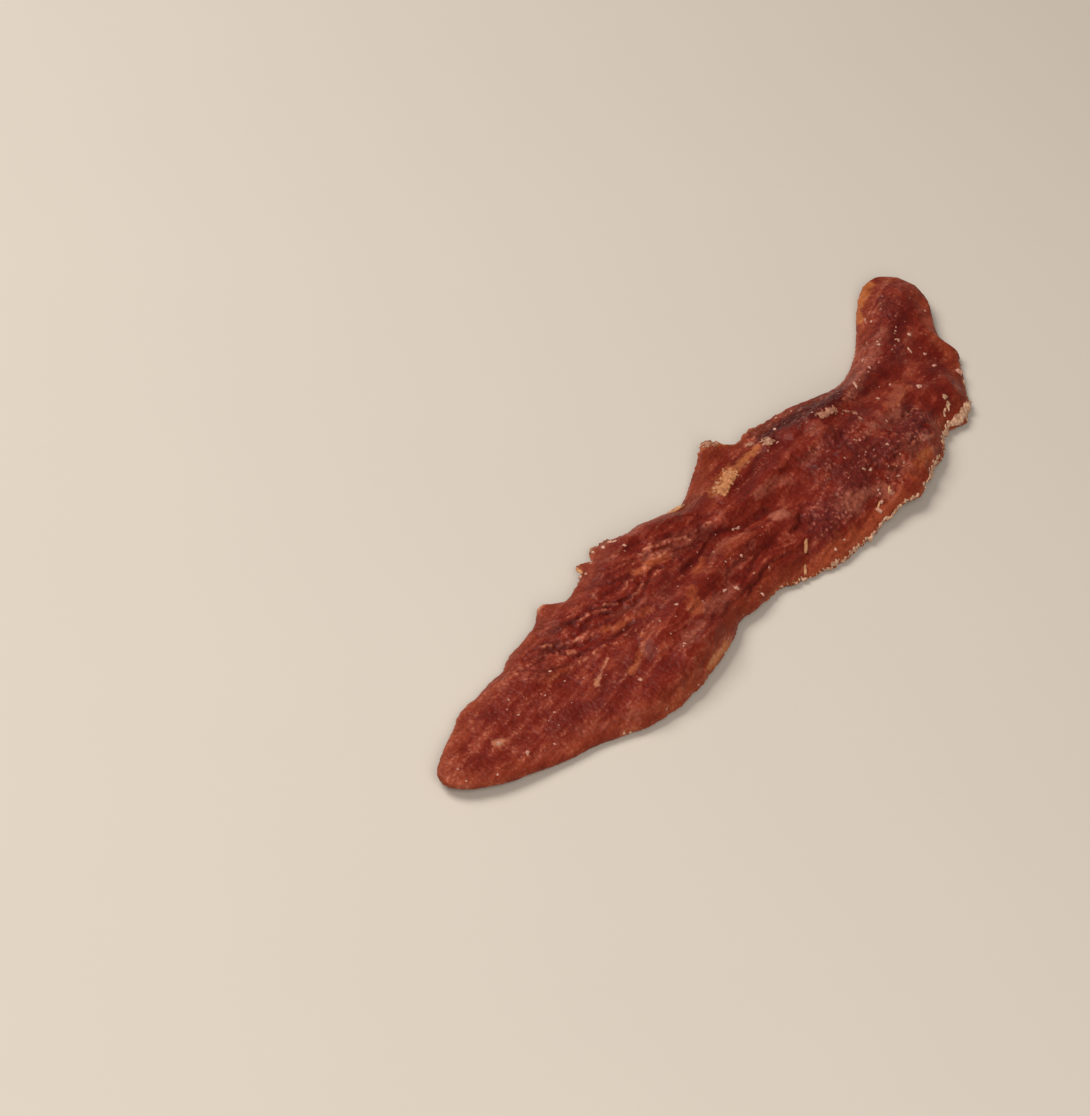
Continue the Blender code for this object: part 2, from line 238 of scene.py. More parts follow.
# The dried meat's body. A zone or patch is (strength, reach, places), and a line is (height or depth,
# half width, places). Noise is (strength, size, seed).
meat = {
    "weldGap": 0.01,
    "voxel": 0.27,
    "smoothPasses": 2,
    "smoothShare": 0.5,
    "pebbleHeight": 0.20,
    "leastPebbles": 0.25,    # share of them outside the pebbly zones
    "grainHeight": 0.07,
    "grain": (0.55, 21.0),   # size and seed
    "swellHeight": 0.10,
    "swell": (2.4, 26.0),
    "furrows": {"turn": -22.0, "longWay": 5.0, "spacing": 1.5, "width": 0.13, "seed": 5.0},
    "furrowDepth": 0.17,
    "leastFurrows": 0.12,
    "striations": {"turn": -5.0, "longWay": 6.0, "spacing": 0.95, "width": 0.16, "seed": 15.0},
    "striationDepth": 0.11,
    "leastStriations": 0.25,
    "creaseShare": 0.55,
    "pebbles": ((0.45, 0.95, 2.0), (0.25, 0.6, 6.0)),
    "cracks": {"size": 1.15, "width": 0.14, "seed": 81.0, "stretch": (0.8, 1.0, 1.0)},
    "crackDepth": 0.65,
    "crackRise": 0.25,       # how far the skin stands up between the cracks
    "crumple": 0.5,          # how far the cracks wind
    "crumpleNoise": (1.3, 71.0, 77.0),
    "wander": ((0.45, 2.2, 3.0), (0.35, 0.9, 8.0)),  # frays the edges of zones and patches
    "reliefFray": 0.5,       # how much of the wander the zones and lines of relief take
    "smoothFray": 0.4,
    "smoothing": 0.85,       # how much of the relief a smooth zone takes away
    "bend": (5.0, 51.0, 57.0),   # bends the furrows and lines: size and seeds
    "ridgeBreaks": (0.65, 2.0, 1.4),  # the grain's middle, gain and upper limit along a ridge
    "patchCore": 0.1,
    "turnSlope": 0.25,       # upward share of the normal at which the top gives way to the underside
    "reliefFade": (0.1, 1.2),   # distances from the rim between which the relief sets in
    "undersideShare": 0.5,
    "wallSlope": 0.35,       # a wall is where the normal's upward share is below this
    "wallTop": 3.5,
    "teeth": ((0.6, 0.9, 41.0), (0.5, 0.42, 44.0)),
    "toothStretch": (1.0, 1.0, 0.4),
    "toothBias": 0.12,
    "leastSideways": 0.2,    # a normal that is steeper than this pushes the rim out less
    "frayReach": 0.9,
    "frayDepth": 0.34,
    "leastFray": 0.35,
    "rimThinning": 0.3,
    "thinningFade": (0.2, 1.6),
    "headroom": 0.02,
    # the relief paints shade into the hollows and highlights onto the crests
    "reliefShading": (0.55, 1.7),    # middle and gain with which the relief colours the meat
    # painted highlight along the thin ridges
    "ridgeHighlight": 7.0,
    # painted shade in the creases, furrows and striations
    "sunkenShade": (2.4, 0.6, 0.4),   # of creases, furrows and striations
    "coarseness": (1.0, 0.8, 0.7),    # of pebbly, furrowed and striated meat
    "darkSoftening": 0.8,    # how much of that a dark patch takes away
    # the amber rim band and fringe: partly the thin meat's own colour, partly painted glow of light through
    # it
    "rimColourFade": (0.2, 4.0),
    "edgeColourReach": 0.75,
    "leastEdgeColour": 0.25,
    # Stretches of the rim that are torn
    "tornRims": [
        (1.0, 4.5, [(60, -17.5), (75, -21.7), (90, -23.8), (104, -21.0), (112, -20.0), (118, -16.0)]),
        (0.9, 3.0, [(44, 6.5), (50, 7.5), (60, 4.6)]),
        (0.9, 3.0, [(78, 6.0), (83, 2.5), (90, 0.9)]),
        (0.4, 3.0, [(24, -15.0), (33, -17.6), (46, -17.6)]),
        (0.4, 3.0, [(0, 0), (12, 5), (30, 5.6)]),
    ],
    # How coarse the surface is, and where it is smooth
    "pebblyZones": [
        (0.46, 9.0, [(6, -2), (16, -2)]),
        (0.60, 4.5, [(24, 1), (33, 1.5), (44, -1)]),
        (0.60, 4.0, [(50, -1), (60, -2)]),
        (1.00, 5.0, [(76, -15), (90, -17), (103, -16)]),
        (0.85, 3.5, [(86, -9), (97, -10)]),
        (0.70, 5.0, [(110, -4), (122, -1)]),
        (0.90, 3.0, [(85, 1), (92, -1.2), (102, -3.6)]),
    ],
    "furrowZones": [
        (1.0, 4.6, [(28, 2), (38, 0.5), (50, 0.5), (63, -1)]),
        (0.35, 3.0, [(78, -5), (92, -6)]),
        (0.35, 3.0, [(108, -5), (122, -2)]),
    ],
    "striatedZones": [
        (1.0, 3.6, [(44, -11), (56, -12), (68, -13)]),
        (0.7, 3.0, [(60, -8), (70, -9)]),
        (0.5, 3.0, [(66, -17), (78, -19)]),
        (0.5, 3.0, [(28, -9), (42, -9)]),
    ],
    "smoothZones": [
        (0.45, 7.5, [(3, -1.5), (12, -2), (19, -3)]),
        (0.9, 2.2, [(72.6, -10.0), (73.6, -10.2)]),
        (0.8, 2.3, [(76, -2.8), (86, -3.4)]),
        (0.8, 1.8, [(104.5, -10.7), (108.2, -10.8)]),
        (0.7, 1.6, [(104, -7.3), (110, -7.6)]),
        (0.6, 3.0, [(70, 2.4), (78, 3.2)]),
        (0.5, 2.2, [(112, -13.5), (119, -11.5)]),
    ],
    # Creases that stand out one by one
    "creaseLines": [
        (0.32, 0.36, [(29.6, 2.0), (31.2, -0.9), (34.4, -2.9), (37.6, -3.9), (42.0, -4.9)]),
        (0.30, 0.34, [(40.2, -0.4), (42.2, -2.0), (44.6, -2.4), (47.8, -2.5), (51.3, -1.7)]),
        (0.30, 0.30, [(38.6, 1.6), (41.4, 0.0), (45.0, -0.9), (48.6, -1.4)]),
        (0.34, 0.32, [(52.0, -1.9), (54.7, -3.3), (57.6, -2.6), (60.2, -3.6)]),
        (0.34, 0.30, [(55.8, 0.6), (58.6, -2.2), (61.9, -4.0)]),
        (0.30, 0.30, [(58.6, 0.0), (61.8, -2.2), (64.8, -4.0)]),
        (0.34, 0.45, [(54.8, -5.6), (57.5, -5.0), (61.9, -4.6), (65.2, -5.4), (67.8, -7.0), (72.8, -7.7)]),
        (0.30, 0.30, [(33.0, 3.6), (36.4, 1.8), (40.4, 1.2)]),
        (0.26, 0.30, [(24.6, 3.0), (26.6, 0.6), (29.4, -1.4)]),
        (0.28, 0.30, [(57.0, -12.8), (62.4, -11.6), (68.2, -11.9)]),
        (0.26, 0.28, [(56.4, -14.6), (61.8, -13.8), (67.0, -14.4)]),
        (0.35, 0.40, [(71.0, -12.6), (73.6, -13.3), (76.4, -11.6)]),
        (0.25, 0.40, [(75.0, -2.0), (80.0, -2.1), (87.2, -2.2)]),
        (0.20, 0.60, [(89.6, -15.4), (91.0, -18.0), (93.2, -21.4)]),
    ],
    # Thin dry ridges between the furrows
    "ridgeLines": [
        (0.13, 0.28, [(54.8, 1.7), (57.3, 0.3), (59.9, -1.4), (62.6, -2.2), (65.0, -3.3)]),
        (0.11, 0.24, [(54.1, 0.8), (55.0, -1.0), (56.7, -1.6), (57.1, -3.0)]),
        (0.11, 0.26, [(46.4, 0.3), (48.4, -0.1), (50.1, -0.7), (51.4, -0.7)]),
        (0.13, 0.28, [(41.8, 0.4), (43.4, -0.7), (45.1, -1.2), (47.1, -1.6), (48.8, -1.8)]),
        (0.13, 0.26, [(29.9, 2.8), (31.4, 1.3), (33.3, 0.4), (34.9, -0.2)]),
        (0.10, 0.24, [(29.2, 1.8), (30.5, 0.3), (31.8, -0.8)]),
        (0.10, 0.26, [(30.4, -2.1), (32.5, -3.2), (34.8, -3.7), (37.1, -5.1)]),
        (0.08, 0.22, [(37.4, -8.0), (39.5, -7.6), (41.4, -6.8)]),
        (0.10, 0.24, [(53.3, -0.8), (55.2, -1.3), (57.1, -1.1)]),
        (0.09, 0.24, [(37.6, 1.4), (39.4, 0.6), (41.0, -0.6)]),
    ],
    # Patches of colour
    "patches": {
        "wine": [
            (0.62, 4.2, [(18, -6.0), (26, -8.5), (34, -8.5)]),
            (0.60, 2.6, [(40, -5.8), (52, -4.4), (60, -5.2)]),
            (0.50, 3.4, [(46, -13), (56, -12.5)]),
            (0.95, 5.0, [(74, -15.5), (84, -16), (90, -14)]),
            (1.00, 5.0, [(92, -12), (97, -16.5), (104, -15.5)]),
            (0.80, 3.4, [(86, -9), (100, -8.5)]),
            (0.95, 3.0, [(86, 0.3), (94, -2.4), (103, -4.5)]),
            (0.85, 3.4, [(106, -5), (114, -7), (120, -4), (125, -0.5)]),
            (0.55, 2.4, [(110, -12), (112, -15)]),
        ],
        "amber": [
            (0.30, 3.0, [(72, 2.0), (79, 3.6)]),
            (0.45, 1.7, [(4.0, -4.8), (0.8, -1.0), (4.0, 2.6), (12.0, 4.9), (22.0, 5.7)]),
            (0.50, 1.6, [(24.4, -1.0), (28.4, -1.9)]),
            (0.90, 1.1, [(37.3, -2.1), (40.6, -3.7)]),
            (0.70, 1.3, [(41.5, -3.6), (45, -5.2)]),
            (0.85, 0.9, [(33.2, -9.3), (36.5, -8.5), (40.4, -7.0)]),
            (1.00, 1.1, [(50.4, 0.0), (53, -0.7), (55.8, -1.7)]),
            (0.90, 1.0, [(55.3, -6.4), (58.2, -5.9)]),
            (0.90, 1.5, [(49, -10.2), (50.4, -9), (52.4, -7.7)]),
            (0.55, 2.6, [(62, -7.6), (66, -8)]),
            (0.75, 2.8, [(66, -18.8), (76, -20.6), (88, -22.4)]),
            # painted light: the lit band of the near edge
            (0.60, 2.6, [(30, -16.6), (40, -17.2)]),
            (0.60, 2.4, [(92, -20.6), (98, -20.6)]),
            (0.75, 2.2, [(103.6, -11), (108.8, -10.9)]),
            (0.35, 1.2, [(127, -5.6), (129.4, -1.5), (129, 3)]),
            (0.45, 1.6, [(122.4, -9), (118.4, -15)]),
        ],
        "pale": [
            (0.55, 1.5, [(53.2, 1.0), (56, -0.6), (59, -2.4)]),
            (0.50, 1.2, [(57, 0.6), (62, -1.6), (65, -3.4)]),
            (0.60, 0.8, [(58.4, -7.0), (63, -6.4), (67.4, -7.9)]),
            (0.95, 2.0, [(72.4, -9.4), (73.6, -10.2)]),
            (0.65, 2.2, [(75.0, -5.4), (79.5, -6.6)]),
            (0.45, 1.4, [(84, -7.4), (88, -8)]),
            (0.65, 1.5, [(103.8, -11.2), (108.4, -10.6)]),
            (0.70, 1.8, [(103, -5.4), (108.3, -4.6), (113.5, -3.8), (118.5, -2.8)]),
            (0.75, 1.0, [(10.8, -1.9), (11.8, -2.3)]),
            (0.85, 3.0, [(81.6, -16.8), (87.0, -18.8)]),
            (0.45, 2.2, [(90, -19.0), (104, -18.4)]),
            (0.50, 1.8, [(94, -17.6), (100, -16.4)]),
            (0.60, 1.2, [(41, -1.8), (46, -3.6)]),
            (0.55, 2.4, [(59, -2.0), (63, -3.6)]),
            (0.35, 1.8, [(34, -9.4), (39, -8.4)]),
            (0.50, 2.0, [(42, -12.4), (47, -12.0)]),
            (0.60, 2.2, [(50, -12.0), (56, -11.6)]),
            (0.75, 2.6, [(98, -11.6), (103, -12.6)]),
            (0.50, 1.4, [(58, -10.4), (66, -9.8)]),
            (0.24, 5.0, [(3, -1.5), (12, -3), (20, -2)]),
            (0.35, 1.2, [(35.0, -15.0), (40.0, -14.6)]),
            (0.40, 2.4, [(12, -7.4), (22, -11.4)]),
            (0.40, 2.6, [(24, 0.5), (34, 3.2)]),
        ],
        "golden": [
            (0.70, 1.2, [(77.4, -0.3), (80.5, -0.5), (83.6, -0.6)]),
            (0.60, 1.6, [(70.6, -0.6), (77.0, 0.2)]),
            (0.80, 1.7, [(117.5, 1.6), (122, 3.4), (127, 4.4)]),
            (0.50, 0.9, [(78.6, 6.0), (81.0, 4.0), (83.2, 1.6)]),
            (0.95, 1.0, [(40.4, -17.1), (45.6, -16.8)]),
            (0.38, 1.1, [(33.2, -9.2), (35.6, -8.8), (37.4, -8.3)]),
            (0.45, 1.2, [(95, -20.4), (99, -20.2)]),
            (0.30, 0.9, [(50.4, 0.0), (53, -0.7), (55.8, -1.7)]),
        ],
        "dark": [
            (0.90, 3.0, [(87, 0.6), (94, -1.8), (101, -4.0)]),
            (0.50, 2.8, [(72, 2.8), (79, 4.2)]),
            (0.60, 2.2, [(98, -12), (104, -14)]),
            (0.55, 2.0, [(83, -9.4), (92, -10.4)]),
            (0.50, 1.6, [(104, -7.0), (110, -7.2)]),
            (0.55, 2.4, [(60, 2.6), (68, 0.6)]),
            (0.35, 2.4, [(44, 4.0), (54, 3.4)]),
            (0.60, 2.6, [(84, -12.0), (91, -12.6)]),
            (0.40, 2.2, [(66, 0.2), (71, -0.8)]),
            (0.40, 2.0, [(49, 0.6), (55, -0.4)]),
            (0.35, 2.2, [(90, -4.4), (96, -6.6)]),
        ],
        "fat": [
            (1.00, 0.60, [(28.2, -6.7), (30.0, -6.2)]),
            (0.70, 0.36, [(30.0, -6.2), (33.4, -5.4)]),
            (0.55, 0.60, [(41.2, -16.9), (44.4, -16.7)]),
            (0.80, 0.70, [(35.2, 6.8), (36.8, 7.2)]),
            (0.60, 1.00, [(10.8, -1.9), (11.8, -2.3)]),
            (0.25, 0.60, [(25.2, -1.4), (26.6, -1.8)]),
        ],
        "red": [
            (0.95, 1.8, [(74, -2.9), (80, -2.9), (87, -3.0)]),
            (0.75, 1.3, [(104, -7.4), (110, -7.4)]),
            (0.75, 2.4, [(113, -13.8), (117.6, -12), (121, -10.6)]),
            (0.60, 2.0, [(46, -14.8), (58, -14.9)]),
            (0.55, 1.8, [(21, -7), (27, -8.2)]),
            (0.60, 1.8, [(66, 1.2), (70, 0.4)]),
            (0.50, 2.4, [(118, -4.5), (126, -2.5)]),
        ],
        # painted sheen: a greyish lilac veil on slopes that catch the light
        "lilacSheen": [
            (0.20, 1.0, [(84, 1.4), (88.5, 1.3), (91, 0.2)]),
            (0.50, 1.2, [(106, -5.2), (112, -3.8), (119, -2.0)]),
            (0.40, 3.0, [(77, -13.4), (84, -15)]),
            (0.35, 3.0, [(94, -15.6), (101, -15.4)]),
        ],
    },
    # Tones as seen in soft daylight
    "tones": {
        # deep and light are the body's painted shade in the hollows and painted highlight on the crests
        "deep": "#480a05",
        "base": "#681c11",
        "light": "#91432f",
        "wineDeep": "#3c0707",
        "wineLight": "#6b2620",
        "darkDeep": "#2c0404",
        "darkLight": "#4a0f0c",
        "amberDeep": "#6e2410",
        "amberLight": "#a05234",
        "goldenDeep": "#8a4419",
        "goldenLight": "#b47142",
        "red": "#5c0b05",
        "paleDeep": "#763223",
        "pale": "#a26250",
        # painted sheen
        "lilacSheen": "#743634",
        # painted highlight on the highest grains
        "crestHighlight": "#b47060",
        # partly painted glow of light through the torn edge
        "fringe": "#a8603c",
        "fatDeep": "#8c4d36",
        # the fat's lighter tone, also painted as highlight along the thin ridges
        "fatAndRidgeHighlight": "#bd8467",
    },
    # How the patches and the relief are laid over the body's colour: share, darker tone, lighter tone, how
    # much they cover and how firm their edges are
    # every layer turns to its darker tone in the hollows and its lighter tone on the crests, as painted shade
    # and painted highlight, streaked along the strands
    "layers": (
        ("wine", "wineDeep", "wineLight", 0.85, 0.7),
        ("red", "deep", "red", 0.75, 1.0),
        ("dark", "darkDeep", "darkLight", 0.85, 0.6),
        # painted sheen
        ("lilacSheen", "wineDeep", "lilacSheen", 0.60, 0.7),
        # amber rim band: partly own colour, partly painted glow of light through the thin meat
        ("rim", "amberDeep", "amberLight", 0.32, 1.0),
        ("amber", "amberDeep", "amberLight", 0.85, 0.75),
        ("golden", "goldenDeep", "goldenLight", 0.85, 0.8),
        ("pale", "paleDeep", "pale", 0.76, 0.65),
        # painted highlight along the thin ridges
        ("ridged", "paleDeep", "fatAndRidgeHighlight", 0.50, 1.0),
        ("fat", "fatDeep", "fatAndRidgeHighlight", 0.90, 1.0),
        # painted shade in the creases, furrows and striations
        ("creased", "deep", "wineDeep", 0.38, 1.0),
        # amber fringe at torn edges: partly own colour, partly painted glow of light through them
        ("edge", "amberDeep", "fringe", 0.55, 1.0),
    ),
    # the body's tones from the hollows to the crests: painted shade, base tone, painted highlight
    "bodyRamp": (("deep", 0.09), ("base", 0.52), ("light", 0.95)),
    # Colour noise: whether it runs with the fibres, its size, detail, roughness and contrast
    "markings": {
        "blotches": (False, 4.5, 5.0, 0.62, 0.5),
        "strands": (True, 1.1, 2.0, 0.5, 0.8),
        "grit": (False, 0.45, 1.0, 0.5, 1.2),
    },
    "patchRange": (0.05, 0.90),  # shares at which a patch begins and at which it is full
    "fibreTurn": 14.0,
    "fibreStretch": (0.2, 1.0, 0.6),
    "patchBreaks": (("strands", 0.7), ("grit", 0.5)),  # what breaks up the edges of patches, and how far
    "gritInBody": 0.15,
    # painted highlight on the highest grains: heights, cover and share
    "crestHighlightHeights": (0.66, 1.12),
    "crestHighlightCover": 0.62,
    "crestHighlightShare": (0.35, 1.1),    # of the painted highlight, from the smooth meat to the coarse
    "roughness": (0.52, 0.38),    # from the hollows to the crests
    "bumpStrength": 0.8,
    "bumpHeight": 0.15,
    "finish": {
        "IOR": 1.45,
        "Specular IOR Level": 0.15,
        "Subsurface Weight": 0.42,
        "Subsurface Radius": (1.0, 0.28, 0.12),
        "Subsurface Scale": 0.9 * mm,
    },
}


def makeMeat():
    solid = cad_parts["jerky_strip"]
    piece = bpy.data.objects.new("driedMeat", solid.data.copy())
    bpy.context.scene.collection.objects.link(piece)
    makeActive(piece)
    bpy.ops.object.mode_set(mode="EDIT")
    bpy.ops.mesh.select_all(action="SELECT")
    bpy.ops.mesh.remove_doubles(threshold=meat["weldGap"] * mm)
    bpy.ops.object.mode_set(mode="OBJECT")
    applyModifier(piece, "REMESH", {"mode": "VOXEL", "voxel_size": meat["voxel"] * mm})
    applyModifier(piece, "SMOOTH", {"factor": meat["smoothShare"], "iterations": meat["smoothPasses"]})
    roughenMeat(piece.data)
    bpy.ops.object.shade_smooth()
    return piece


def roughenMeat(mesh):
    places = stripPlaces(mesh)
    normals = vertexNormals(mesh)
    gaps = rimGaps(places, normals)
    seen = seenPlaces(places)
    wander = noiseSum(places, meat["wander"])
    torn = zoneShare(places, meat["tornRims"])
    relief, shares = meatRelief(places, seen, wander)
    for name, zones in meat["patches"].items():
        shares[name] = zoneShare(seen, zones, wander, meat["patchCore"])
    shares["coarse"] *= 1.0 - meat["darkSoftening"] * shares["dark"]
    # amber near the rim: partly the thin meat's own colour, partly painted glow of light through it
    shares["rim"] = 1.0 - softStep(gaps, *meat["rimColourFade"])
    edge = 1.0 - softStep(gaps, 0.0, meat["edgeColourReach"])
    shares["edge"] = edge * atLeast(meat["leastEdgeColour"], torn)
    putPlaces(mesh, insideBox(movedPlaces(places, normals, gaps, torn, relief), meat["headroom"]))
    for name, share in shares.items():
        storeShare(mesh, name, share)


def rimGaps(places, normals):
    # plan distance of every point from the strip's side wall
    wall = np.nonzero((np.abs(normals[:, 2]) < meat["wallSlope"]) & (places[:, 2] < meat["wallTop"]))[0]
    tree = kdtree.KDTree(len(wall))
    for number, index in enumerate(wall.tolist()):
        tree.insert(Vector((places[index, 0], places[index, 1], 0.0)), number)
    tree.balance()
    flat = np.column_stack([places[:, :2], np.zeros(len(places))]).tolist()
    return np.array([tree.find(place)[2] for place in flat])


def meatRelief(places, seen, wander):
    # height of the fine forms, and the shares that their colours follow
    fray = wander * meat["reliefFray"]
    pebbly = zoneShare(seen, meat["pebblyZones"], fray)
    furrowed = zoneShare(seen, meat["furrowZones"], fray)
    striated = zoneShare(seen, meat["striatedZones"], fray)
    smooth = zoneShare(seen, meat["smoothZones"], wander * meat["smoothFray"])

    bent = seen + sideways(places, *meat["bend"])
    furrows = fibreLines(bent, meat["furrows"])
    striations = fibreLines(bent, meat["striations"])
    grain = noiseAt(places, *meat["grain"])
    swell = noiseAt(places, *meat["swell"])
    relief = meat["pebbleHeight"] * atLeast(meat["leastPebbles"], pebbly) * pebbledSkin(places)
    relief += meat["grainHeight"] * grain + meat["swellHeight"] * swell
    relief -= meat["furrowDepth"] * atLeast(meat["leastFurrows"], furrowed) * furrows
    relief -= meat["striationDepth"] * atLeast(meat["leastStriations"], striated) * striations

    creased = meat["creaseShare"] * lineRelief(bent, meat["creaseLines"], fray)
    middle, gain, limit = meat["ridgeBreaks"]
    ridged = lineRelief(bent, meat["ridgeLines"], fray) * np.clip(middle + gain * grain, 0.0, limit)
    relief = (1.0 - meat["smoothing"] * smooth) * relief - creased + ridged
    coarse = [strength * share for strength, share in zip(meat["coarseness"], (pebbly, furrowed, striated))]
    sunk = [creased, furrowed * furrows, striated * striations]
    return relief, {
        "relief": meat["reliefShading"][0] + meat["reliefShading"][1] * relief,
        "coarse": np.maximum.reduce(coarse),
        # painted highlight along the thin ridges
        "ridged": meat["ridgeHighlight"] * ridged,
        # painted shade in the sunken forms
        "creased": sum(strength * share for strength, share in zip(meat["sunkenShade"], sunk)),
    }


def pebbledSkin(places):
    # pebbles of two sizes, with thin cracks round groups of them
    cracks = meat["cracks"]
    pebbles = sum(strength * pebblesAt(places, size, seed) for strength, size, seed in meat["pebbles"])
    crumpled = places + meat["crumple"] * sideways(places, *meat["crumpleNoise"])
    lines = linesAt(crumpled * cracks["stretch"], cracks["size"], cracks["width"], cracks["seed"])
    return pebbles + (meat["crackRise"] - meat["crackDepth"] * lines)


def movedPlaces(places, normals, gaps, torn, relief):
    # the relief raises or sinks the top, and only sinks the underside
    topShare = softStep(normals[:, 2], -meat["turnSlope"], meat["turnSlope"])
    inside = softStep(gaps, *meat["reliefFade"])
    push = topShare * relief * inside - (1.0 - topShare) * meat["undersideShare"] * np.abs(relief) * inside
    moved = places + normals * push[:, None]
    # torn stretches of the rim get teeth and thin out
    fray = (1.0 - softStep(gaps, 0.0, meat["frayReach"])) * atLeast(meat["leastFray"], torn)
    teeth = noiseSum(places * meat["toothStretch"], meat["teeth"]) - meat["toothBias"]
    outwards = normals * [1, 1, 0]
    outwards /= np.maximum(np.linalg.norm(outwards, axis=1), meat["leastSideways"])[:, None]
    moved += outwards * (meat["frayDepth"] * teeth * fray)[:, None]
    moved[:, 2] -= topShare * torn * meat["rimThinning"] * (1.0 - softStep(gaps, *meat["thinningFade"]))
    return moved


def makeMeatMaterial():
    # Lean beef sliced along the grain and air dried: a wine red body that turns amber where it is thin,
    # partly its own colour and partly painted glow of light through the thin rim; dull on its pebbly crust
    # and faintly waxy where it is smooth, with light soaking into it. Its hollows carry painted shade, its
    # crests painted highlights, and some slopes a painted lilac sheen.
    material, tree, shader = startMaterial("airDriedBeef", meat["finish"])
    tone = {name: linearColour(value) for name, value in meat["tones"].items()}
    place = addNode(tree, "ShaderNodeTexCoord").outputs["Object"]
    turn = (0.0, 0.0, math.radians(meat["fibreTurn"]))
    fibreWay = addNode(
        tree, "ShaderNodeMapping", {}, {"Vector": place, "Rotation": turn, "Scale": meat["fibreStretch"]}
    ).outputs[0]
    marks = {}
    for name, (fibred, size, detail, roughness, contrast) in meat["markings"].items():
        cloud = addNode(
            tree, "ShaderNodeTexNoise", {},
            {
                "Vector": fibreWay if fibred else place,
                "Scale": 1.0 / (size * mm),
                "Detail": detail,
                "Roughness": roughness,
            },
        ).outputs["Fac"]
        marks[name] = addNode(
            tree, "ShaderNodeMath", {"operation": "MULTIPLY_ADD"}, {0: cloud, 1: contrast, 2: -contrast / 2.0}
        ).outputs[0]

    # height of the surface, with the strands and grit that the mesh is too coarse to hold
    relief = addNode(tree, "ShaderNodeAttribute", {"attribute_name": "relief"}).outputs["Fac"]
    ups = addNode(tree, "ShaderNodeMath", {"operation": "ADD"}, {0: marks["strands"], 1: relief}).outputs[0]
    height = addNode(tree, "ShaderNodeMath", {"operation": "ADD"}, {0: ups, 1: marks["grit"]}).outputs[0]
    ups = addNode(
        tree, "ShaderNodeMath", {"operation": "MULTIPLY_ADD"},
        {0: marks["grit"], 1: meat["gritInBody"], 2: ups},
    ).outputs[0]

    # the body's tone: painted shade in the hollows, painted highlight on the crests, broken by blotches
    bodyShare = addNode(
        tree, "ShaderNodeMath", {"operation": "ADD"}, {0: ups, 1: marks["blotches"]}
    ).outputs[0]
    bodyRamp = addNode(tree, "ShaderNodeValToRGB", {}, {"Fac": bodyShare})
    stops = bodyRamp.color_ramp.elements
    stops.new(0.5)  # the one between the two that the ramp starts with
    for stop, (name, position) in zip(stops, meat["bodyRamp"]):
        stop.position = position
        stop.color = tone[name]
    colour = bodyRamp.outputs["Color"]

    onset, full = meat["patchRange"]
    for name, darker, lighter, cover, firmness in meat["layers"]:
        share = addNode(tree, "ShaderNodeAttribute", {"attribute_name": name}).outputs["Fac"]
        for marking, strength in meat["patchBreaks"]:
            share = addNode(
                tree, "ShaderNodeMath", {"operation": "MULTIPLY_ADD"},
                {0: marks[marking], 1: strength, 2: share},
            ).outputs[0]
        factor = addNode(
            tree, "ShaderNodeMapRange", {"interpolation_type": "SMOOTHSTEP"},
            {"Value": share, "From Min": onset, "From Max": full / firmness, "To Max": cover / firmness},
        ).outputs[0]
        # darker in the hollows, lighter on the crests: painted shade and painted highlight
        mix = addNode(
            tree, "ShaderNodeMix", {"data_type": "RGBA"}, {0: ups, 6: tone[darker], 7: tone[lighter]}
        ).outputs[2]
        colour = addNode(
            tree, "ShaderNodeMix", {"data_type": "RGBA"}, {0: factor, 6: colour, 7: mix}
        ).outputs[2]

    # painted pinkish highlight on the highest grains
    lowest, highest = meat["crestHighlightHeights"]
    crestHighlight = addNode(
        tree, "ShaderNodeMapRange", {"interpolation_type": "SMOOTHSTEP"},
        {"Value": height, "From Min": lowest, "From Max": highest, "To Max": meat["crestHighlightCover"]},
    ).outputs[0]
    coarse = addNode(tree, "ShaderNodeAttribute", {"attribute_name": "coarse"}).outputs["Fac"]
    least, most = meat["crestHighlightShare"]
    coarse = addNode(
        tree, "ShaderNodeMapRange", {}, {"Value": coarse, "To Min": least, "To Max": most}
    ).outputs[0]
    crestHighlight = addNode(tree, "ShaderNodeMath", {"operation": "MULTIPLY"}, {0: crestHighlight, 1: coarse}).outputs[0]
    colour = addNode(
        tree, "ShaderNodeMix", {"data_type": "RGBA"}, {0: crestHighlight, 6: colour, 7: tone["crestHighlight"]}
    ).outputs[2]
    tree.links.new(colour, shader.inputs["Base Color"])

    dullest, waxiest = meat["roughness"]
    roughness = addNode(
        tree, "ShaderNodeMapRange", {}, {"Value": ups, "To Min": dullest, "To Max": waxiest}
    ).outputs[0]
    tree.links.new(roughness, shader.inputs["Roughness"])
    bump = addNode(
        tree, "ShaderNodeBump", {},
        {"Height": height, "Strength": meat["bumpStrength"], "Distance": meat["bumpHeight"] * mm},
    ).outputs["Normal"]
    tree.links.new(bump, shader.inputs["Normal"])
    return material


def framePlace(along, across, height):
    return Vector((along - strip["middleAlong"], across - strip["middleAcross"], height)) * mm


def dropPlaces(meatPiece, spots):
    # follows the photograph's line of sight through each (along, across) to the meat: place and normal there
    mesh = meatPiece.data
    tree = bvhtree.BVHTree.FromPolygons(
        [vertex.co for vertex in mesh.vertices], [polygon.vertices for polygon in mesh.polygons]
    )
    found = []
    eye = framePlace(viewpoint["along"], viewpoint["across"], viewpoint["height"])
    for along, across in spots:
        sight = framePlace(along, across, viewpoint["sightHeight"]) - eye
        hit, normal, _, _ = tree.ray_cast(eye, sight.normalized())
        if hit is None:
            hit, normal, _, _ = tree.find_nearest(eye + sight)
        found.append((hit, normal))
    return found


